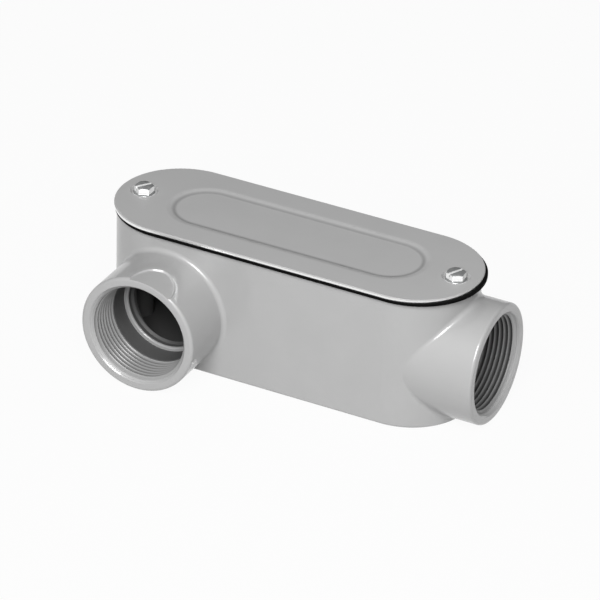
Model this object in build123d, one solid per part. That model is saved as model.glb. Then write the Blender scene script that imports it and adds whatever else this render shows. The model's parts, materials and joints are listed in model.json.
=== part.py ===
"""Conduit body, trade size 1-1/2: an elbow fitting for rigid conduit, with a screwed-on cover.

Millimetres, +Z up. The origin is the centre of the body's flat base. +X runs to the end hub, and
-Y to the side hub near the other end.
"""
from build123d import *
import math
import os

os.makedirs("parts", exist_ok=True)

# Body box: a deep obround trough, open at the top
end_arc_x = 57.7  # middle of the body to the centre of each rounded end
body_height = 63.4
body_side_margin = 1.8  # how far the long walls stand out past the barrels
base_draft = 0.5  # how much smaller the radius is at the base
wall = 3.0
floor = 3.2
base_edge_r = 1.2
cavity_edge_r = 2.5

# Hubs: thick barrels. Each is cast with a plain bore and a rounded throat for the wires, then tapped
hub_r = 28.0
hub_ground_gap = 0.1  # the barrels end just above the surface that the base stands on
hub_edge_r = 1.5
thread_root_r = 23.6
thread_depth = 17.6  # face to the end of the tapped part
thread_run_out = 1.2
mouth_chamfer = 0.6
plain_bore_r = 21.2
throat_r = 19.3
lip_r = 0.9
throat_neck_r = 18.3  # the throat's narrow end, at the trough
throat_neck_length = 1.0
end_hub_reach = 12.5  # rounded end of the body to the hub's face
side_hub_reach = 28.1  # flat wall of the body to the hub's face
side_hub_inset = 8.5  # from the centre of the rounded end, towards the middle
end_seat_depth = 20.0  # face to shoulder
side_seat_depth = 27.2
end_throat_length = 5.4
end_boss_wall = 2.4
junction_r = 2.2

# Shallow cast spot on top of the side hub, and the stubs that the gates left on the hubs' rims
spot_angle = 76.7
spot_r = 11.7
spot_inset = 1.7  # hub's face to the spot's centre
spot_depth = 0.7
side_gate_angle = -17.0
end_gate_angle = -28.0
gate_width = 3.4
gate_length = 3.6
gate_height = 1.1

# Cover: formed plate with a sunk panel and a dimple round each screw
cover_overhang = 1.2
cover_t = 1.6
cover_edge_r = 0.5
panel_end_x = 45.0  # middle of the cover to the centre of each rounded end of the panel
panel_r = 17.6
panel_depth = 0.9
panel_slope = 2.4
panel_floor_t = 1.2
dimple_r = 6.5
dimple_floor_r = 5.5
dimple_depth = 1.3
dimple_floor_t = 1.1

# Gasket
gasket_t = 1.2
gasket_overhang = 0.4
gasket_drift = 0.9  # it lies a little towards the end hub
gasket_land = 6.4
gasket_end_land = 4.0
gasket_hole_gap = 1.3

# Cover screws: slotted hex washer heads, number 10
screw_inset = 11.0  # edge of the cover to the screw's axis
screw_major_r = 2.4
screw_length = 12.7
screw_point = 0.6
head_across_flats = 7.9
head_height = 3.1
head_chamfer = 0.5
flange_r = 5.0
flange_t = 0.9
slot_width = 1.3
slot_depth = 1.4
screw_fit_gap = 0.08
screw_hole_gap = 0.5
screw_hole_spare = 1.5  # screw's tip to the bottom of its hole
column_wall = 3.0

# Working allowances
cut_spare = 1.0  # how far a cutter starts outside the face it cuts
match_gap = 0.01  # two edges closer than this are the same edge

# Places worked out from the sizes above
body_top_r = hub_r + body_side_margin
body_base_r = body_top_r - base_draft
cover_r = body_top_r + cover_overhang
hub_axis_z = hub_r + hub_ground_gap
end_face_x = end_arc_x + body_top_r + end_hub_reach
side_face_y = -(body_top_r + side_hub_reach)
side_hub_x = side_hub_inset - end_arc_x
inner_wall_y = side_face_y + side_hub_reach + wall
cover_z = body_height + gasket_t
cover_top_z = cover_z + cover_t
dimple_z = cover_top_z - dimple_depth
screw_x = end_arc_x + cover_r - screw_inset
screw_hole_r = screw_major_r + screw_fit_gap
screw_hole_end_z = dimple_z - screw_length - screw_hole_spare
column_r = screw_hole_r + column_wall


def obround(half_length, radius, z):
    """Flat obround face at a height, given the centres and radius of its rounded ends."""
    return Pos(0, 0, z) * SlotCenterToCenter(2 * half_length, 2 * radius)


def tapered_obround(half_length, low_r, low_z, high_r, high_z):
    """Solid between two obrounds with the same end centres: flat sides and cone ends."""
    return loft([obround(half_length, low_r, low_z), obround(half_length, high_r, high_z)], ruled=True)


def hub_place(name):
    """Plane on a hub's face: its +Z points out of the mouth and its +Y points up."""
    if name == "end":
        return Plane(origin=(end_face_x, 0, hub_axis_z), x_dir=(0, 1, 0), z_dir=(1, 0, 0))
    return Plane(origin=(side_hub_x, side_face_y, hub_axis_z), x_dir=(1, 0, 0), z_dir=(0, -1, 0))


def barrel(length):
    """Outside of a hub with its rounded rim, below the hub's face."""
    rod = extrude(Circle(hub_r), amount=-length)
    return fillet(rod.faces().sort_by(Axis.Z)[-1].edges(), hub_edge_r)


def bore_cutter(seat_depth, throat_length, run_out):
    """Space inside a hub, turned about its axis: tapped part, plain bore, shoulder, lip and throat."""
    mouth = thread_root_r + mouth_chamfer
    lip = throat_r + lip_r
    throat_end = seat_depth + throat_length
    outline = [
        Line((0, cut_spare), (mouth, cut_spare)),
        Line((mouth, cut_spare), (mouth, 0)),
        Line((mouth, 0), (thread_root_r, -mouth_chamfer)),
        Line((thread_root_r, -mouth_chamfer), (thread_root_r, thread_run_out - thread_depth)),
        Line((thread_root_r, thread_run_out - thread_depth), (plain_bore_r, -thread_depth)),
        Line((plain_bore_r, -thread_depth), (plain_bore_r, -seat_depth)),
        Line((plain_bore_r, -seat_depth), (lip, -seat_depth)),
        RadiusArc((lip, -seat_depth), (throat_r, -seat_depth - lip_r), -lip_r),
        Line((throat_r, -seat_depth - lip_r), (throat_r, throat_neck_length - throat_end)),
        Line((throat_r, throat_neck_length - throat_end), (throat_neck_r, -throat_end)),
        Line((throat_neck_r, -throat_end), (throat_neck_r, -throat_end - run_out)),
        Line((throat_neck_r, -throat_end - run_out), (0, -throat_end - run_out)),
        Line((0, -throat_end - run_out), (0, cut_spare)),
    ]
    half_section = make_face(outline)
    return revolve(Plane.XZ * half_section, Axis.Z)


def end_boss():
    """Metal round the end hub's throat inside the trough: an arch that stands on the floor."""
    arch_r = thread_root_r + end_boss_wall
    inner_x = end_face_x - end_seat_depth - end_throat_length
    back = Plane(origin=(inner_x, 0, hub_axis_z), x_dir=(0, 1, 0), z_dir=(1, 0, 0))
    leg = Pos(0, -hub_axis_z / 2) * Rectangle(2 * arch_r, hub_axis_z)
    return extrude(back * (Circle(arch_r) + leg), amount=end_face_x - inner_x)


def screw_column(side):
    """Column against a rounded end, for a cover screw."""
    outer_x = end_arc_x + body_top_r
    across = Pos(side * (screw_x + outer_x) / 2, 0) * Rectangle(outer_x - screw_x, 2 * column_r)
    round_part = Pos(side * screw_x, 0) * Circle(column_r)
    return extrude(across + round_part, amount=body_height)


def spot_cutter():
    """Shallow round spot, as deep everywhere on the barrel, with sloping sides."""
    plane = hub_place("side")
    outward = (math.cos(math.radians(spot_angle)), 0, math.sin(math.radians(spot_angle)))
    floor_r = hub_r - spot_depth
    centre = plane.origin - plane.z_dir * spot_inset + Vector(*outward) * floor_r
    place = Plane(origin=centre, x_dir=(0, 1, 0), z_dir=outward)
    sink = spot_r / 2  # the barrel falls away by less than this at the spot's sides
    cone = place * Cone(spot_r - sink, spot_r + sink, 2 * sink)
    keep = plane * extrude(Circle(floor_r), amount=2 * spot_r, both=True)
    return cone - keep


def gate_stub(hub, angle):
    """Low stub on a hub's rim, where the metal entered the mould."""
    middle = Rot(0, 0, angle) * Pos(hub_r, 0, -hub_edge_r - gate_length / 2)
    block = Box(2 * gate_height, gate_width, gate_length)
    return hub_place(hub) * middle * fillet(block.edges(), gate_height / 3)


def body():
    """The one-piece casting."""
    shell = tapered_obround(end_arc_x, body_base_r, 0, body_top_r, body_height)
    shell = fillet(shell.faces().sort_by(Axis.Z)[0].edges(), base_edge_r)
    end_hub = hub_place("end") * barrel(end_face_x - end_arc_x)
    side_hub = hub_place("side") * barrel(-side_face_y)
    outside = shell + end_hub + side_hub
    known = shell.edges() + end_hub.edges() + side_hub.edges()
    seams = [e for e in outside.edges() if not any(same_edge(e, k) for k in known)]
    outside = fillet(seams, junction_r)

    trough = tapered_obround(end_arc_x, body_base_r - wall, floor, body_top_r - wall, body_height)
    trough = fillet(trough.faces().sort_by(Axis.Z)[0].edges(), cavity_edge_r)
    inside = end_boss() + screw_column(1) + screw_column(-1)
    casting = outside - (trough - inside)

    side_throat_length = inner_wall_y - side_face_y - side_seat_depth
    casting -= hub_place("end") * bore_cutter(end_seat_depth, end_throat_length, column_r)
    casting -= hub_place("side") * bore_cutter(side_seat_depth, side_throat_length, column_r)
    casting -= spot_cutter()
    casting += gate_stub("side", side_gate_angle)
    casting += gate_stub("end", end_gate_angle)
    hole_depth = body_height - screw_hole_end_z
    for side in (-1, 1):
        casting -= Pos(side * screw_x, 0, body_height - hole_depth / 2) * Cylinder(screw_hole_r, hole_depth)
    return casting


def same_edge(one, other):
    """True where two edges have the same middle and length."""
    return (one @ 0.5 - other @ 0.5).length < match_gap and abs(one.length - other.length) < match_gap


def gasket():
    """Flat ring with wide ends, which the cover presses on the body's rim."""
    outer = obround(end_arc_x, cover_r + gasket_overhang, 0)
    hole_r = dimple_r + gasket_hole_gap
    opening_r = cover_r - gasket_land
    opening_x = screw_x - hole_r - gasket_end_land - opening_r
    ring = outer - obround(opening_x, opening_r, 0)
    for side in (-1, 1):
        ring -= Pos(side * screw_x, 0) * Circle(hole_r)
    return Pos(gasket_drift, 0, body_height) * extrude(ring, amount=gasket_t)


def cover():
    """Plate with the sunk panel and the dimples pressed into it from above."""
    plate = extrude(obround(end_arc_x, cover_r, cover_z), amount=cover_t)
    plate = fillet(plate.faces().sort_by(Axis.Z)[-1].edges(), cover_edge_r)
    panel_z = cover_top_z - panel_depth
    floor_r = panel_r - panel_slope
    low_z = panel_z - panel_floor_t
    plate += tapered_obround(panel_end_x, floor_r, low_z, panel_r, low_z + panel_depth)
    plate -= tapered_obround(panel_end_x, floor_r, panel_z, panel_r, cover_top_z)
    for side in (-1, 1):
        here = Pos(side * screw_x, 0, 0)
        low = dimple_z - dimple_floor_t
        plate += here * Pos(0, 0, (low + cover_z) / 2) * Cylinder(dimple_r, cover_z - low)
        plate -= here * Pos(0, 0, dimple_z + dimple_depth / 2) * Cone(dimple_floor_r, dimple_r, dimple_depth)
        plate -= here * Pos(0, 0, cover_z) * Cylinder(screw_major_r + screw_hole_gap, 3 * cover_t)
    return plate


def cover_screw(side):
    """Slotted hex washer head on a plain shank of the thread's outer size."""
    flange = extrude(Circle(flange_r), amount=flange_t)
    head = extrude(RegularPolygon(head_across_flats / 2, 6, major_radius=False), amount=flange_t + head_height)
    corner_r = head_across_flats / math.sqrt(3)
    crown = Pos(0, 0, (flange_t + head_height) / 2) * Cylinder(corner_r, flange_t + head_height)
    head &= chamfer(crown.faces().sort_by(Axis.Z)[-1].edges(), head_chamfer)
    slot = Pos(0, 0, flange_t + head_height - slot_depth / 2) * Box(3 * flange_r, slot_width, slot_depth)
    shank = Pos(0, 0, -screw_length / 2) * Cylinder(screw_major_r, screw_length)
    shank = chamfer(shank.faces().sort_by(Axis.Z)[0].edges(), screw_point)
    return Pos(side * screw_x, 0, dimple_z) * (flange + head + shank - slot)


nodes = {
    "body": body(),
    "gasket": gasket(),
    "cover": cover(),
    "cover_screw_left": cover_screw(-1),
    "cover_screw_right": cover_screw(1),
}

for name, shape in nodes.items():
    export_step(shape, f"parts/{name}.step")
    print(name, round(shape.volume), "mm3")
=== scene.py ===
"""Conduit body, trade size 1-1/2: the enamelled casting with its threads, gasket, cover and screws."""
import json
import math
import bmesh
import bpy
from mathutils import Matrix, Vector


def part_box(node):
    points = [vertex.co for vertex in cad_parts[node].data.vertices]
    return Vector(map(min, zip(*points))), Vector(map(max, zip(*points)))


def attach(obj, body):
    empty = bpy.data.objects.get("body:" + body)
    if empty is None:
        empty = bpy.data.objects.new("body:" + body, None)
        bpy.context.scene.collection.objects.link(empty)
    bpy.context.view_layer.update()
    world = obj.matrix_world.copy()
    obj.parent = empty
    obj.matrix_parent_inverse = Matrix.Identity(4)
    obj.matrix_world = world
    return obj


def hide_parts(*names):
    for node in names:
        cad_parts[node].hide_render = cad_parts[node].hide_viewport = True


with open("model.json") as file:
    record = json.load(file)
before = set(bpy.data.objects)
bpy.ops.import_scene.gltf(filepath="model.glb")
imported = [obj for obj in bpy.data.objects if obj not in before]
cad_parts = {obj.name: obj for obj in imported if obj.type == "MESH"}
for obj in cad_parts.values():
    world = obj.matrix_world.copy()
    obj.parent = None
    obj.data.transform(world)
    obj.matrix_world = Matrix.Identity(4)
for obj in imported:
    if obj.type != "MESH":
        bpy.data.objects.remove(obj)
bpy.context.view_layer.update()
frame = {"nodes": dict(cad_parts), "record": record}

# The camera stands two metres off, above and to the right of the side hub, with a long lens. It looks at
# the middle of the cover's top, and is shifted and rolled a little, as the photograph's was.
view_azimuth = math.radians(25.934)
view_elevation = math.radians(29.886)
view_roll = math.radians(2.225)
view_distance = 1.9957
view_offset = Vector((-0.00093, 0.02990))
lens_mm = 270.0

cover_low, cover_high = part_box("cover")
looked_at = Vector((0, 0, cover_high.z))
toward_camera = Vector((
    math.sin(view_azimuth) * math.cos(view_elevation),
    -math.cos(view_azimuth) * math.cos(view_elevation),
    math.sin(view_elevation),
))
level_right = Vector((math.cos(view_azimuth), math.sin(view_azimuth), 0))
level_up = toward_camera.cross(level_right)
picture_right = level_right * math.cos(view_roll) + level_up * math.sin(view_roll)
picture_up = level_up * math.cos(view_roll) - level_right * math.sin(view_roll)
camera_place = looked_at + toward_camera * view_distance
camera_place -= picture_right * view_offset.x + picture_up * view_offset.y

camera = bpy.data.objects.new("camera", bpy.data.cameras.new("camera"))
bpy.context.scene.collection.objects.link(camera)
camera.data.lens = lens_mm
camera.data.clip_end = 20.0
axes = Matrix((picture_right, picture_up, toward_camera)).transposed()
camera.matrix_world = Matrix.Translation(camera_place) @ axes.to_4x4()
bpy.context.scene.camera = camera
bpy.context.scene.view_settings.view_transform = "Standard"


# Body: die-cast aluminium under a sprayed and baked semi-gloss grey enamel. The paint evens out the grain
# of the casting but keeps its slow waves, which break up the highlights along its round edges.
def add_node(tree, kind, settings=None, links=None):
    """Adds a node. Settings are its properties or its sockets' values, links the sources of its sockets."""
    node = tree.nodes.new(kind)
    for name, value in (settings or {}).items():
        if isinstance(name, str) and hasattr(node, name):
            setattr(node, name, value)
        else:
            node.inputs[name].default_value = value
    for name, source in (links or {}).items():
        tree.links.new(source, node.inputs[name])
    return node


def linear(hex_code):
    """Linear colour with full alpha from an sRGB code such as #b0b0b0."""
    parts = [int(hex_code[i:i + 2], 16) / 255 for i in (1, 3, 5)]
    return [c / 12.92 if c <= 0.04045 else ((c + 0.055) / 1.055) ** 2.4 for c in parts] + [1.0]


def new_material(name):
    """Empty material with its tree and Principled shader."""
    material = bpy.data.materials.new(name)
    material.use_nodes = True
    tree = material.node_tree
    return material, tree, tree.nodes["Principled BSDF"]


def enamel(name, pale, dark, wave_height, peel_height, gloss, coat):
    """Baked enamel: faint shade differences, the metal's slow waves and the paint's glassy orange peel."""
    material, tree, shader = new_material(name)
    shade_size = 0.021
    wave_size = 0.0075
    peel_size = 0.0011
    smoothest = gloss - 0.03
    roughest = gloss + 0.05
    place = add_node(tree, "ShaderNodeTexCoord").outputs["Object"]
    shades, waves, peel = (
        add_node(tree, "ShaderNodeTexNoise", {"Scale": 1 / size, "Detail": detail}, {"Vector": place})
        for size, detail in ((shade_size, 3.0), (wave_size, 1.0), (peel_size, 2.0))
    )
    colour = add_node(
        tree, "ShaderNodeMix", {"data_type": "RGBA", 6: linear(dark), 7: linear(pale)},
        {0: shades.outputs[0]},
    )
    height = add_node(
        tree, "ShaderNodeMath", {"operation": "MULTIPLY", 1: wave_height}, {0: waves.outputs[0]}
    )
    height = add_node(
        tree, "ShaderNodeMath", {"operation": "MULTIPLY_ADD", 1: peel_height},
        {0: peel.outputs[0], 2: height.outputs[0]},
    )
    bump = add_node(tree, "ShaderNodeBump", {"Distance": 1.0}, {"Height": height.outputs[0]})
    rough = add_node(
        tree, "ShaderNodeMapRange", {"To Min": smoothest, "To Max": roughest}, {"Value": shades.outputs[0]}
    )
    tree.links.new(colour.outputs[2], shader.inputs["Base Color"])
    tree.links.new(rough.outputs[0], shader.inputs["Roughness"])
    tree.links.new(bump.outputs[0], shader.inputs["Normal"])
    shader.inputs["Coat Weight"].default_value = coat
    shader.inputs["Coat Roughness"].default_value = 0.1
    return material


def overlay_finish(material, mask, colour, metallic, roughness):
    """Shows another finish, without a clear coat, in place of the enamel, as far as a mask goes: a bare
    surface, thinner paint or painted shade.
    """
    tree = material.node_tree
    shader = tree.nodes["Principled BSDF"]
    painted = shader.inputs["Base Color"].links[0].from_socket
    shown = add_node(
        tree, "ShaderNodeMix", {"data_type": "RGBA", 7: linear(colour)}, {0: mask, 6: painted}
    )
    tree.links.new(shown.outputs[2], shader.inputs["Base Color"])
    for name, value in (("Roughness", roughness), ("Metallic", metallic), ("Coat Weight", 0.0)):
        socket = shader.inputs[name]
        if socket.links:
            shown = add_node(
                tree, "ShaderNodeMix", {"data_type": "FLOAT", 3: value},
                {0: mask, 2: socket.links[0].from_socket},
            )
        elif socket.default_value != value:
            shown = add_node(
                tree, "ShaderNodeMix", {"data_type": "FLOAT", 2: socket.default_value, 3: value}, {0: mask}
            )
        else:
            continue  # the same all over, so it stays on the shader's own socket
        tree.links.new(shown.outputs[0], socket)


def between(tree, value, low, high):
    """Mask, 1 where a value lies between two limits."""
    above = add_node(tree, "ShaderNodeMath", {"operation": "GREATER_THAN", 1: low}, {0: value})
    below = add_node(tree, "ShaderNodeMath", {"operation": "LESS_THAN", 1: high}, {0: value})
    both = add_node(
        tree, "ShaderNodeMath", {"operation": "MULTIPLY"}, {0: above.outputs[0], 1: below.outputs[0]}
    )
    return both.outputs[0]


def place_in_hub(tree, face, outward):
    """Height over a hub's face, and distance from its axis."""
    place = add_node(tree, "ShaderNodeTexCoord").outputs["Object"]
    offset = add_node(tree, "ShaderNodeVectorMath", {"operation": "SUBTRACT", 1: face}, {0: place})
    height, around = (
        add_node(tree, "ShaderNodeVectorMath", {"operation": product, 1: outward}, {0: offset.outputs[0]})
        for product in ("DOT_PRODUCT", "CROSS_PRODUCT")
    )
    spread = add_node(tree, "ShaderNodeVectorMath", {"operation": "LENGTH"}, {0: around.outputs[0]})
    return height.outputs["Value"], spread.outputs["Value"]


def inside_hub(tree, face, outward, radius, shallow, deep):
    """Mask, 1 on what lies nearer to a hub's axis than a radius, between two depths below its face."""
    height, spread = place_in_hub(tree, face, outward)
    deep_enough = between(tree, height, -deep, -shallow)
    near_enough = add_node(tree, "ShaderNodeMath", {"operation": "LESS_THAN", 1: radius}, {0: spread})
    both = add_node(
        tree, "ShaderNodeMath", {"operation": "MULTIPLY"}, {0: deep_enough, 1: near_enough.outputs[0]}
    )
    return both.outputs[0]


def from_spine(tree, arc_x):
    """Level distance from the line between the centres of an obround's rounded ends."""
    beyond = 1.0  # higher than any piece, so that heights drop out
    place = add_node(tree, "ShaderNodeTexCoord").outputs["Object"]
    nearest = place
    for limit, side in (("MINIMUM", 1), ("MAXIMUM", -1)):
        nearest = add_node(
            tree, "ShaderNodeVectorMath", {"operation": limit, 1: (side * arc_x, 0, side * beyond)},
            {0: nearest},
        ).outputs[0]
    offset = add_node(tree, "ShaderNodeVectorMath", {"operation": "SUBTRACT"}, {0: place, 1: nearest})
    spread = add_node(tree, "ShaderNodeVectorMath", {"operation": "LENGTH"}, {0: offset.outputs[0]})
    return spread.outputs["Value"]


def over_base(tree):
    """Height over the plane that the part stands on."""
    place = add_node(tree, "ShaderNodeTexCoord").outputs["Object"]
    return add_node(tree, "ShaderNodeSeparateXYZ", {}, {0: place}).outputs["Z"]


def dress(node_name, material):
    """Gives a carried-over part its finish."""
    part = frame["nodes"][node_name]
    part.data.materials.clear()
    part.data.materials.append(material)


casting_enamel = enamel(
    "enamel_on_die_cast_aluminium", "#a7a7a7", "#a0a0a0",
    wave_height=0.00006, peel_height=0.000004, gloss=0.34, coat=0.6,
)
casting_tree = casting_enamel.node_tree
mounts = {m["name"]: m for m in frame["record"]["mounts"]}
body_low, body_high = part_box("body")
hub_faces = {
    "end_hub": Vector((body_high.x, 0, mounts["end_hub"]["pos_m"][2])),
    "side_hub": Vector((mounts["side_hub"]["pos_m"][0], body_low.y, mounts["side_hub"]["pos_m"][2])),
}

# Inside, the casting is darker and duller: in the plain bore and the throat of each hub, and in the trough.
# The darkness is partly thin paint on the casting and partly painted shade, where little light reaches. The
# shoulder between bore and throat, with its round lip, has the enamel.
dull_and_shaded_r = 0.0220  # round a hub's axis
bore_start = 0.0174  # below a hub's face, as the next depths are
shoulder_depths = {"end_hub": 0.0200, "side_hub": 0.0272}
shoulder_margin = 0.0001
lip_width = 0.0009
throat_end = 0.0400
trough_arc_x = 0.0577
trough_r = 0.0272
trough_low = 0.0025  # over the base, just under the trough's floor
rim_margin = 0.0002
dull_and_shaded_places = []
for hub, shoulder_depth in shoulder_depths.items():
    for shallow, deep in (
        (bore_start, shoulder_depth - shoulder_margin), (shoulder_depth + lip_width, throat_end),
    ):
        outward = Vector(mounts[hub]["axis"])
        dull_and_shaded_places.append(inside_hub(casting_tree, hub_faces[hub], outward, dull_and_shaded_r, shallow, deep))
in_plan = add_node(
    casting_tree, "ShaderNodeMath", {"operation": "LESS_THAN", 1: trough_r},
    {0: from_spine(casting_tree, trough_arc_x)},
)
in_height = between(casting_tree, over_base(casting_tree), trough_low, body_high.z - rim_margin)
in_trough = add_node(
    casting_tree, "ShaderNodeMath", {"operation": "MULTIPLY"}, {0: in_plan.outputs[0], 1: in_height}
)
dull_and_shaded = in_trough.outputs[0]
for place in dull_and_shaded_places:
    dull_and_shaded = add_node(casting_tree, "ShaderNodeMath", {"operation": "MAXIMUM"}, {0: dull_and_shaded, 1: place}).outputs[0]
# Painted shade, partly thin paint: the inside of the casting gets a dark, dull grey.
overlay_finish(casting_enamel, dull_and_shaded, "#505050", metallic=0.0, roughness=0.6)
dress("body", casting_enamel)

# Hub threads: tapered pipe threads, 11.5 to the inch, cut in the casting and thinly painted. Each starts in
# the rounded mouth and stops short of the shoulder. Past the mouth it is painted darker than the casting, and
# darker still in its grooves, partly for thin paint and partly as painted shade in the bore.
pipe_pitch = 0.0254 / 11.5
pipe_taper = 1 / 32  # loss of radius for each unit of depth
pipe_root_r = 0.02355
pipe_thread_height = 0.00165
pipe_thread_length = 0.0169
pipe_thread_start = 0.0006  # hub face to the first trace of thread
pipe_bedding_r = 0.02390  # the threaded wall's own outside, sunk in the casting
pipe_fade = 0.0003
countersink_slope = 0.64  # the countersunk mouth takes the crests off the first turns
groove_shade_start = 0.8  # over the root, as a share of the thread's height, as the next is
groove_shade_full = 0.15
painted_mouth = 0.0036  # the body's own colour fades out this far in
painted_mouth_full = 0.6  # and is full down to this share of that depth


def socket_of(tree, name):
    """Identifier of a tree's input, by its name."""
    sockets = [item for item in tree.interface.items_tree if item.item_type == "SOCKET"]
    return [s.identifier for s in sockets if s.in_out == "INPUT" and s.name == name][0]


def threaded_wall():
    """Geometry tree of a closed threaded wall about Z, from the origin, where its thread fades in."""
    flat_share = 0.12  # of the way from root to crest, at either end
    closing_rows = 3.0  # these close the wall round its smooth side
    doubled = 2e-6
    tree = bpy.data.node_groups.new("threaded_wall", "GeometryNodeTree")
    for name, kind in (
        ("Smooth Side Radius", "Float"), ("Root Radius", "Float"), ("Thread Height", "Float"),
        ("Pitch", "Float"), ("Length", "Float"), ("Taper", "Float"), ("Fade", "Float"),
        ("Countersink Radius", "Float"), ("Countersink Slope", "Float"),
        ("Around", "Int"), ("Rows per Turn", "Int"),
        ("Place", "Vector"), ("Rotation", "Vector"), ("Material", "Material"),
    ):
        tree.interface.new_socket(name, in_out="INPUT", socket_type="NodeSocket" + kind)
    tree.interface.new_socket("Geometry", in_out="OUTPUT", socket_type="NodeSocketGeometry")
    given = add_node(tree, "NodeGroupInput").outputs

    def math_node(operation, *values):
        """One math step; a value is a number or another step's output."""
        settings = {i: v for i, v in enumerate(values) if isinstance(v, (int, float))}
        links = {i: v for i, v in enumerate(values) if not isinstance(v, (int, float))}
        return add_node(tree, "ShaderNodeMath", {"operation": operation, **settings}, links).outputs[0]

    turns = math_node("CEIL", math_node("ADD", math_node("DIVIDE", given["Length"], given["Pitch"]), 1.0))
    thread_rows = math_node("MULTIPLY", turns, given["Rows per Turn"])
    rows = math_node("ADD", thread_rows, closing_rows)
    grid = add_node(tree, "GeometryNodeMeshGrid", {}, {
        "Size X": given["Around"], "Size Y": rows,
        "Vertices X": math_node("ADD", given["Around"], 1.0), "Vertices Y": math_node("ADD", rows, 1.0),
    })
    place = add_node(tree, "GeometryNodeInputPosition")
    place = add_node(tree, "ShaderNodeSeparateXYZ", {}, {0: place.outputs[0]})
    column = math_node("ADD", place.outputs[0], math_node("MULTIPLY", given["Around"], 0.5))
    row = math_node("ROUND", math_node("ADD", place.outputs[1], math_node("MULTIPLY", rows, 0.5)))
    turn = math_node("DIVIDE", column, given["Around"])
    steps = math_node("DIVIDE", math_node("SUBTRACT", row, 1.0), given["Rows per Turn"])
    along = math_node("MULTIPLY", math_node("SUBTRACT", math_node("ADD", steps, turn), 1.0), given["Pitch"])
    depth = math_node("MINIMUM", math_node("MAXIMUM", along, 0.0), given["Length"])
    phase = math_node("SUBTRACT", math_node("DIVIDE", depth, given["Pitch"]), turn)
    slope = math_node("MULTIPLY", math_node("PINGPONG", phase, 0.5), 2.0)
    ridge = add_node(
        tree, "ShaderNodeMapRange", {"From Min": flat_share, "From Max": 1 - flat_share}, {"Value": slope}
    ).outputs[0]
    fade = add_node(tree, "ShaderNodeMapRange", {}, {"Value": depth, "From Max": given["Fade"]}).outputs[0]
    root = math_node("SUBTRACT", given["Root Radius"], math_node("MULTIPLY", depth, given["Taper"]))
    thread = math_node("SUBTRACT", root, math_node("MULTIPLY", ridge, given["Thread Height"]))
    narrowing = math_node("MULTIPLY", depth, given["Countersink Slope"])
    cone = math_node("SUBTRACT", given["Countersink Radius"], narrowing)
    thread = math_node("MAXIMUM", thread, cone)
    rise = math_node("MULTIPLY", math_node("SUBTRACT", thread, given["Smooth Side Radius"]), fade)
    radius = math_node("ADD", given["Smooth Side Radius"], rise)
    before_thread = math_node("LESS_THAN", row, 0.5)
    past_thread = math_node("GREATER_THAN", steps, math_node("ADD", turns, 0.01))
    closing = math_node("MAXIMUM", before_thread, past_thread)
    far_row = math_node("COMPARE", row, math_node("ADD", thread_rows, closing_rows - 1.0), 0.5)
    radius = add_node(
        tree, "GeometryNodeSwitch", {"input_type": "FLOAT"},
        {"Switch": closing, "False": radius, "True": given["Smooth Side Radius"]},
    ).outputs[0]
    depth = add_node(
        tree, "GeometryNodeSwitch", {"input_type": "FLOAT"},
        {"Switch": closing, "False": depth, "True": math_node("MULTIPLY", far_row, given["Length"])},
    ).outputs[0]
    angle = math_node("MULTIPLY", turn, math.tau)
    point = add_node(tree, "ShaderNodeCombineXYZ", {}, {
        0: math_node("MULTIPLY", radius, math_node("COSINE", angle)),
        1: math_node("MULTIPLY", radius, math_node("SINE", angle)),
        2: depth,
    })
    wall = add_node(
        tree, "GeometryNodeSetPosition", {},
        {"Geometry": grid.outputs["Mesh"], "Position": point.outputs[0]},
    )
    wall = add_node(tree, "GeometryNodeMergeByDistance", {"Distance": doubled}, {"Geometry": wall.outputs[0]})
    wall = add_node(tree, "GeometryNodeSetShadeSmooth", {}, {"Geometry": wall.outputs[0]})
    wall = add_node(
        tree, "GeometryNodeTransform", {},
        {"Geometry": wall.outputs[0], "Translation": given["Place"], "Rotation": given["Rotation"]},
    )
    wall = add_node(tree, "GeometryNodeRealizeInstances", {}, {"Geometry": wall.outputs[0]})
    wall = add_node(
        tree, "GeometryNodeSetMaterial", {}, {"Geometry": wall.outputs[0], "Material": given["Material"]}
    )
    add_node(tree, "NodeGroupOutput", {}, {"Geometry": wall.outputs[0]})
    return tree


def grow(name, tree, inputs):
    """Plain object made by a geometry tree with these inputs."""
    seed = bpy.data.objects.new(name + "_seed", bpy.data.meshes.new(name + "_seed"))
    bpy.context.scene.collection.objects.link(seed)
    modifier = seed.modifiers.new("grow", "NODES")
    modifier.node_group = tree
    for key, value in inputs.items():
        modifier[socket_of(tree, key)] = value
    depsgraph = bpy.context.evaluated_depsgraph_get()
    mesh = bpy.data.meshes.new_from_object(seed.evaluated_get(depsgraph))
    seed.modifiers.remove(modifier)
    bpy.data.objects.remove(seed)
    made = bpy.data.objects.new(name, mesh)
    bpy.context.scene.collection.objects.link(made)
    return made


def face_outwards(piece, sharp_degrees):
    """Joins a closed piece's doubled points, turns its faces outwards and marks its sharp edges."""
    doubled = 1e-6
    work = bmesh.new()
    work.from_mesh(piece.data)
    bmesh.ops.remove_doubles(work, verts=work.verts, dist=doubled)
    loose = [edge for edge in work.edges if not edge.link_faces]
    bmesh.ops.delete(work, geom=loose, context="EDGES")
    bmesh.ops.recalc_face_normals(work, faces=work.faces)
    work.to_mesh(piece.data)
    work.free()
    piece.data.set_sharp_from_angle(angle=math.radians(sharp_degrees))


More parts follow.
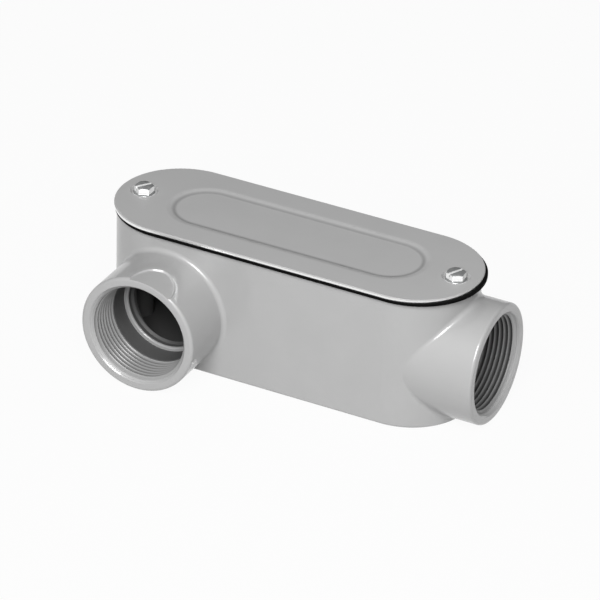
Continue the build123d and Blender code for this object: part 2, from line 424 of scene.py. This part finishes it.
def thread_enamel_and_shade(name, face, outward):
    """Thin enamel, darker than the body's, with painted shade that makes a thread's grooves darker and
    duller, and in the body's colour on its first turns.
    """
    material = enamel(
        name, "#8e8e8e", "#828282", wave_height=0.00001, peel_height=0.000003, gloss=0.3, coat=0.0
    )
    tree = material.node_tree
    height, spread = place_in_hub(tree, face, outward)
    untapered = add_node(
        tree, "ShaderNodeMath", {"operation": "MULTIPLY_ADD", 1: -pipe_taper}, {0: height, 2: spread}
    ).outputs[0]
    shaded_groove = add_node(
        tree, "ShaderNodeMapRange",
        {
            "From Min": pipe_root_r - groove_shade_start * pipe_thread_height,
            "From Max": pipe_root_r - groove_shade_full * pipe_thread_height,
        },
        {"Value": untapered},
    )
    # Painted shade in the grooves, with thinner paint there.
    overlay_finish(material, shaded_groove.outputs[0], "#3c3c3c", metallic=0.0, roughness=0.6)
    mouth = add_node(
        tree, "ShaderNodeMapRange",
        {"From Min": -painted_mouth, "From Max": -painted_mouth_full * painted_mouth}, {"Value": height},
    )
    overlay_finish(material, mouth.outputs[0], "#a7a7a7", metallic=0.0, roughness=0.4)
    return material


wall_tree = threaded_wall()
for hub, face in hub_faces.items():
    outward = Vector(mounts[hub]["axis"])
    inward = (-outward).to_track_quat("Z", "Y")
    thread = grow(hub + "_thread", wall_tree, {
        "Smooth Side Radius": pipe_bedding_r, "Root Radius": pipe_root_r,
        "Thread Height": pipe_thread_height, "Pitch": pipe_pitch, "Length": pipe_thread_length,
        "Taper": pipe_taper, "Fade": pipe_fade,
        "Countersink Radius": pipe_root_r, "Countersink Slope": countersink_slope,
        "Around": 128, "Rows per Turn": 10,
        "Place": face - outward * pipe_thread_start, "Rotation": inward.to_euler(),
        "Material": thread_enamel_and_shade("thin_enamel_on_thread_of_" + hub, face, outward),
    })
    face_outwards(thread, sharp_degrees=75)
    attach(thread, "housing")

# Gasket: die-cut from black neoprene sheet, nearly black and matt, with a fine grain. It lies on the
# casting's rim, and the cover clamps it there.
gasket_rubber, rubber_tree, rubber_shader = new_material("die_cut_neoprene")
rubber_grain = 0.0009
rubber_grain_height = 0.00003
rubber_place = add_node(rubber_tree, "ShaderNodeTexCoord").outputs["Object"]
rubber_noise = add_node(
    rubber_tree, "ShaderNodeTexNoise", {"Scale": 1 / rubber_grain, "Detail": 3.0}, {"Vector": rubber_place}
)
rubber_colour = add_node(
    rubber_tree, "ShaderNodeMix", {"data_type": "RGBA", 6: linear("#020202"), 7: linear("#080808")},
    {0: rubber_noise.outputs[0]},
)
rubber_bump = add_node(
    rubber_tree, "ShaderNodeBump", {"Distance": rubber_grain_height}, {"Height": rubber_noise.outputs[0]}
)
rubber_tree.links.new(rubber_colour.outputs[2], rubber_shader.inputs["Base Color"])
rubber_tree.links.new(rubber_bump.outputs[0], rubber_shader.inputs["Normal"])
rubber_shader.inputs["Roughness"].default_value = 0.72
rubber_shader.inputs["Specular IOR Level"].default_value = 0.05
dress("gasket", gasket_rubber)

# Cover: aluminium sheet, blanked and pressed with a sunk panel, in the same enamel. Rolled sheet is flatter
# than the casting, so its paint shows hardly any waves.
# Its colour is written a little paler than the body's, as painted light on the cover's top.
cover_enamel = enamel(
    "enamel_on_pressed_sheet", "#adadad", "#a7a7a7",
    wave_height=0.00002, peel_height=0.000003, gloss=0.4, coat=0.0,
)
cover_tree = cover_enamel.node_tree
cover_size = cover_high - cover_low
cover_arc_x = (cover_size.x - cover_size.y) / 2

# The press rounds the bends round the sunk panel: the bump is the rounded bend less the solid's straight one.
# The crease at the panel's foot is painted a little darker and duller all the way round, as painted shade.
panel_arc_x = 0.0450
panel_floor_r = 0.0152
panel_edge_r = 0.0176
panel_depth = 0.0009
bend_reach = 0.0016
bend_share = 1.1  # of the solid's slope
from_panel = from_spine(cover_tree, panel_arc_x)
bent = add_node(
    cover_tree, "ShaderNodeMapRange",
    {
        "interpolation_type": "SMOOTHSTEP",
        "From Min": panel_floor_r - bend_reach, "From Max": panel_edge_r + bend_reach,
        "To Min": -panel_depth * bend_share, "To Max": 0.0,
    },
    {"Value": from_panel},
)
straight = add_node(
    cover_tree, "ShaderNodeMapRange",
    {"From Min": panel_floor_r, "From Max": panel_edge_r, "To Min": -panel_depth, "To Max": 0.0},
    {"Value": from_panel},
)
rounding = add_node(
    cover_tree, "ShaderNodeMath", {"operation": "SUBTRACT"}, {0: bent.outputs[0], 1: straight.outputs[0]}
)
crease_middle_r = 0.0154
crease_half_width = 0.0016
off_crease = add_node(
    cover_tree, "ShaderNodeMath", {"operation": "SUBTRACT", 1: crease_middle_r}, {0: from_panel}
)
off_crease = add_node(cover_tree, "ShaderNodeMath", {"operation": "ABSOLUTE"}, {0: off_crease.outputs[0]})
crease_shade = add_node(
    cover_tree, "ShaderNodeMapRange",
    {"interpolation_type": "SMOOTHSTEP", "From Min": crease_half_width, "From Max": 0.0},
    {"Value": off_crease.outputs[0]},
)
# Painted shade in the crease at the panel's foot.
overlay_finish(cover_enamel, crease_shade.outputs[0], "#8c8c8c", metallic=0.0, roughness=0.6)
cover_bump = cover_tree.nodes["Bump"]
relief = add_node(
    cover_tree, "ShaderNodeMath", {"operation": "ADD"},
    {0: rounding.outputs[0], 1: cover_bump.inputs["Height"].links[0].from_socket},
)
cover_tree.links.new(relief.outputs[0], cover_bump.inputs["Height"])

# The sheared edge of the sheet is bare and bright.
bare_edge = 0.0001
painted_fillet = 0.0005  # the paint runs over the pressed edge this far down
at_edge = between(
    cover_tree, from_spine(cover_tree, cover_arc_x), cover_size.y / 2 - bare_edge, cover_size.y
)
below_fillet = between(cover_tree, over_base(cover_tree), 0.0, cover_high.z - painted_fillet)
sheared = add_node(cover_tree, "ShaderNodeMath", {"operation": "MULTIPLY"}, {0: at_edge, 1: below_fillet})
overlay_finish(cover_enamel, sheared.outputs[0], "#f4f4f4", metallic=1.0, roughness=0.25)
dress("cover", cover_enamel)

# Cover screws: slotted hex washer-head screws, number 10 with 24 threads to the inch, of cold-headed steel
# with bright zinc plating. Each sits in its dimple, and its thread shows when the cover is lifted.
screw_pitch = 0.0254 / 24
head_across = 0.0079
head_top = 0.0040  # washer and hexagon together
head_chamfer_angle = math.radians(30)
head_flat_r = 0.00355
washer_r = 0.0050
washer_t = 0.0009
washer_dish = 0.00025
slot_width = 0.0013
slot_depth = 0.0014
edge_rounding = 0.00014
shank_length = 0.0127
shank_root_r = 0.00192
shank_thread_height = 0.00046


def hexagon_r(angle):
    """Distance from the axis to the hexagon's side in a direction."""
    return head_across / 2 / math.cos((angle + math.pi / 6) % (math.pi / 3) - math.pi / 6)


def screw_head():
    """Closed head about Z, with its bearing face at the origin: chamfered hexagon on a washer."""
    around = 72
    angles = [math.tau * i / around for i in range(around)]
    work = bmesh.new()
    loops = []
    for outline in (
        lambda a: (head_flat_r, head_top),
        lambda a: (hexagon_r(a), head_top - (hexagon_r(a) - head_flat_r) * math.tan(head_chamfer_angle)),
        lambda a: (hexagon_r(a), washer_t + edge_rounding),
        lambda a: (hexagon_r(a) + edge_rounding, washer_t),
        lambda a: (washer_r - edge_rounding, washer_t - washer_dish),
        lambda a: (washer_r, washer_t - washer_dish - edge_rounding),
        lambda a: (washer_r, 0.0),
    ):
        loop = []
        for angle in angles:
            r, z = outline(angle)
            loop.append(work.verts.new((r * math.cos(angle), r * math.sin(angle), z)))
        loops.append(loop)
    for upper, lower in zip(loops, loops[1:]):
        for i in range(around):
            work.faces.new((upper[i - 1], lower[i - 1], lower[i], upper[i]))
    work.faces.new(loops[0])
    work.faces.new(reversed(loops[-1]))
    mesh = bpy.data.meshes.new("screw_head")
    work.to_mesh(mesh)
    work.free()
    head = bpy.data.objects.new("screw_head", mesh)
    bpy.context.scene.collection.objects.link(head)
    return head


def slot_bar():
    """Bar that cuts the driver slot."""
    work = bmesh.new()
    bmesh.ops.create_cube(work, size=1.0)
    size = Matrix.Diagonal((4 * washer_r, slot_width, 2 * slot_depth, 1.0))
    bmesh.ops.transform(work, matrix=Matrix.Translation((0, 0, head_top)) @ size, verts=work.verts)
    mesh = bpy.data.meshes.new("slot_bar")
    work.to_mesh(mesh)
    work.free()
    bar = bpy.data.objects.new("slot_bar", mesh)
    bpy.context.scene.collection.objects.link(bar)
    return bar


def cut_and_round(head, bar):
    """The head's mesh with its slot, and with every edge a little rounded."""
    cut = head.modifiers.new("slot", "BOOLEAN")
    cut.operation = "DIFFERENCE"
    cut.solver = "EXACT"
    cut.object = bar
    rounding = head.modifiers.new("rounding", "BEVEL")
    rounding.width = edge_rounding
    rounding.segments = 2
    rounding.limit_method = "ANGLE"
    rounding.angle_limit = math.radians(38)
    mesh = bpy.data.meshes.new_from_object(head.evaluated_get(bpy.context.evaluated_depsgraph_get()))
    head.modifiers.clear()
    head.data = mesh
    bpy.data.objects.remove(bar)


def cover_screw_tree():
    """Geometry tree that turns a head and its threaded shank, and sets them at a screw's place."""
    tree = bpy.data.node_groups.new("cover_screw", "GeometryNodeTree")
    for name, kind in (
        ("Head", "Object"), ("Shank", "Object"), ("Turn", "Float"), ("Place", "Vector"),
        ("Material", "Material"),
    ):
        tree.interface.new_socket(name, in_out="INPUT", socket_type="NodeSocket" + kind)
    tree.interface.new_socket("Geometry", in_out="OUTPUT", socket_type="NodeSocketGeometry")
    given = add_node(tree, "NodeGroupInput").outputs
    head = add_node(tree, "GeometryNodeObjectInfo", {}, {"Object": given["Head"]})
    shank = add_node(tree, "GeometryNodeObjectInfo", {}, {"Object": given["Shank"]})
    both = add_node(tree, "GeometryNodeJoinGeometry")
    for part in (shank, head):
        tree.links.new(part.outputs["Geometry"], both.inputs[0])
    turn = add_node(tree, "ShaderNodeCombineXYZ", {}, {2: given["Turn"]})
    placed = add_node(
        tree, "GeometryNodeTransform", {},
        {"Geometry": both.outputs[0], "Translation": given["Place"], "Rotation": turn.outputs[0]},
    )
    placed = add_node(tree, "GeometryNodeRealizeInstances", {}, {"Geometry": placed.outputs[0]})
    placed = add_node(
        tree, "GeometryNodeSetMaterial", {}, {"Geometry": placed.outputs[0], "Material": given["Material"]}
    )
    add_node(tree, "NodeGroupOutput", {}, {"Geometry": placed.outputs[0]})
    return tree


def bright_zinc():
    """Electroplated zinc: bright on top, with faint blooms; its upright flats are painted paler and less
    metallic, as painted light on them.
    """
    material, tree, shader = new_material("bright_zinc_on_cold_headed_steel")
    bloom_size = 0.0016
    smoothest = 0.14
    roughest = 0.3
    upright_from = 0.4  # the share of a surface's direction that is up or down
    upright_full = 0.1
    upright_metallic = 0.15
    place = add_node(tree, "ShaderNodeTexCoord")
    blooms = add_node(
        tree, "ShaderNodeTexNoise", {"Scale": 1 / bloom_size, "Detail": 4.0},
        {"Vector": place.outputs["Object"]},
    )
    colour = add_node(
        tree, "ShaderNodeMix", {"data_type": "RGBA", 6: linear("#8f9193"), 7: linear("#c4c5c4")},
        {0: blooms.outputs[0]},
    )
    level = add_node(tree, "ShaderNodeSeparateXYZ", {}, {0: place.outputs["Normal"]})
    level = add_node(tree, "ShaderNodeMath", {"operation": "ABSOLUTE"}, {0: level.outputs["Z"]})
    painted_light_on_flats = add_node(
        tree, "ShaderNodeMapRange", {"From Min": upright_from, "From Max": upright_full},
        {"Value": level.outputs[0]},
    )
    # Painted light: the upright flats are made paler and nearly matt.
    colour = add_node(
        tree, "ShaderNodeMix", {"data_type": "RGBA", 7: linear("#fafafa")},
        {0: painted_light_on_flats.outputs[0], 6: colour.outputs[2]},
    )
    metal = add_node(
        tree, "ShaderNodeMapRange", {"To Min": 1.0, "To Max": upright_metallic}, {"Value": painted_light_on_flats.outputs[0]}
    )
    rough = add_node(
        tree, "ShaderNodeMapRange", {"To Min": smoothest, "To Max": roughest}, {"Value": blooms.outputs[0]}
    )
    tree.links.new(colour.outputs[2], shader.inputs["Base Color"])
    tree.links.new(metal.outputs[0], shader.inputs["Metallic"])
    tree.links.new(rough.outputs[0], shader.inputs["Roughness"])
    return material


zinc = bright_zinc()
screw_tree = cover_screw_tree()
plain_head = screw_head()
cut_and_round(plain_head, slot_bar())
plain_shank = grow("threaded_shank", wall_tree, {
    "Smooth Side Radius": 0.0, "Root Radius": shank_root_r, "Thread Height": -shank_thread_height,
    "Pitch": screw_pitch, "Length": shank_length + washer_t / 2, "Taper": 0.0, "Fade": 1.5 * screw_pitch,
    "Countersink Radius": 0.0, "Countersink Slope": 0.0,
    "Around": 40, "Rows per Turn": 8,
    "Place": (0, 0, -shank_length), "Rotation": (0, 0, 0), "Material": zinc,
})
for side, turn_degrees in (("left", 56.0), ("right", 64.0)):
    low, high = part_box("cover_screw_" + side)
    seat = Vector(((low.x + high.x) / 2, 0, low.z + shank_length))
    screw = grow("slotted_screw_" + side, screw_tree, {
        "Head": plain_head, "Shank": plain_shank, "Turn": math.radians(turn_degrees), "Place": seat,
        "Material": zinc,
    })
    face_outwards(screw, sharp_degrees=32)
    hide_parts("cover_screw_" + side)
    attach(screw, "screw_" + side)
for spare in (plain_head, plain_shank):
    bpy.data.objects.remove(spare)

# Studio: a floor that the camera sees as white with the part's faint shadow, a white background, and one
# large soft light above the camera. For all but the camera the background gets darker behind the part.
floor_size = 6.0
floor_gap = 0.00005
floor_glow = 0.95  # share of the floor's look that no shadow reaches


def white_floor():
    """White paper that keeps a faint shadow, and is clear from below, where it would hide the base."""
    material, tree, shader = new_material("white_paper")
    shader.inputs["Base Color"].default_value = linear("#b8b8b8")
    shader.inputs["Roughness"].default_value = 0.9
    seen = add_node(tree, "ShaderNodeLightPath")
    seen_by = add_node(
        tree, "ShaderNodeMath", {"operation": "ADD", "use_clamp": True},
        {0: seen.outputs["Is Camera Ray"], 1: seen.outputs["Is Glossy Ray"]},
    )
    share = add_node(
        tree, "ShaderNodeMath", {"operation": "MULTIPLY", 1: floor_glow}, {0: seen_by.outputs[0]}
    )
    glow = add_node(tree, "ShaderNodeEmission", {"Color": (1, 1, 1, 1), "Strength": 1.0})
    mixed = add_node(
        tree, "ShaderNodeMixShader", {}, {0: share.outputs[0], 1: shader.outputs[0], 2: glow.outputs[0]}
    )
    from_below = add_node(tree, "ShaderNodeNewGeometry").outputs["Backfacing"]
    clear = add_node(tree, "ShaderNodeBsdfTransparent")
    mixed = add_node(
        tree, "ShaderNodeMixShader", {}, {0: from_below, 1: mixed.outputs[0], 2: clear.outputs[0]}
    )
    tree.links.new(mixed.outputs[0], tree.nodes["Material Output"].inputs["Surface"])
    return material


bpy.ops.mesh.primitive_plane_add(size=floor_size, location=(0, 0, -floor_gap))
paper = bpy.context.object
paper.name = "floor"
paper.data.materials.append(white_floor())

world = bpy.data.worlds.new("studio")
bpy.context.scene.world = world
world.use_nodes = True
world_tree = world.node_tree
world_light = 0.28  # the background's strength as a light; as what the part mirrors it has strength 1
back_grey = 0.3  # behind the part, against 1 in front of it
front = (0.0, -0.97, 0.25)
backdrop = world_tree.nodes["Background"]
seen = add_node(world_tree, "ShaderNodeLightPath")
white = add_node(world_tree, "ShaderNodeBackground", {"Color": (1, 1, 1, 1), "Strength": 1.0})
direction = add_node(world_tree, "ShaderNodeTexCoord").outputs["Generated"]
forward = add_node(
    world_tree, "ShaderNodeVectorMath", {"operation": "DOT_PRODUCT", 1: front}, {0: direction}
)
sky = add_node(
    world_tree, "ShaderNodeMapRange", {"From Min": -1.0, "To Min": back_grey, "To Max": 1.0},
    {"Value": forward.outputs["Value"]},
)
mirrored = add_node(
    world_tree, "ShaderNodeMapRange", {"To Min": world_light, "To Max": 1.0},
    {"Value": seen.outputs["Is Glossy Ray"]},
)
world_tree.links.new(sky.outputs[0], backdrop.inputs["Color"])
world_tree.links.new(mirrored.outputs[0], backdrop.inputs["Strength"])
world_mix = add_node(
    world_tree, "ShaderNodeMixShader", {},
    {0: seen.outputs["Is Camera Ray"], 1: backdrop.outputs[0], 2: white.outputs[0]},
)
world_tree.links.new(world_mix.outputs[0], world_tree.nodes["World Output"].inputs["Surface"])


def soft_light(name, azimuth, elevation, distance, size, watts):
    """Square soft light in a direction from the part, turned to face it."""
    light = bpy.data.objects.new(name, bpy.data.lights.new(name, "AREA"))
    bpy.context.scene.collection.objects.link(light)
    light.data.shape = "SQUARE"
    light.data.size = size
    light.data.energy = watts
    a = math.radians(azimuth)
    e = math.radians(elevation)
    direction = Vector((math.sin(a) * math.cos(e), -math.cos(a) * math.cos(e), math.sin(e)))
    light.location = direction * distance
    light.rotation_euler = direction.to_track_quat("Z", "Y").to_euler()


soft_light("key_light", azimuth=20, elevation=42, distance=1.2, size=0.6, watts=16.6)
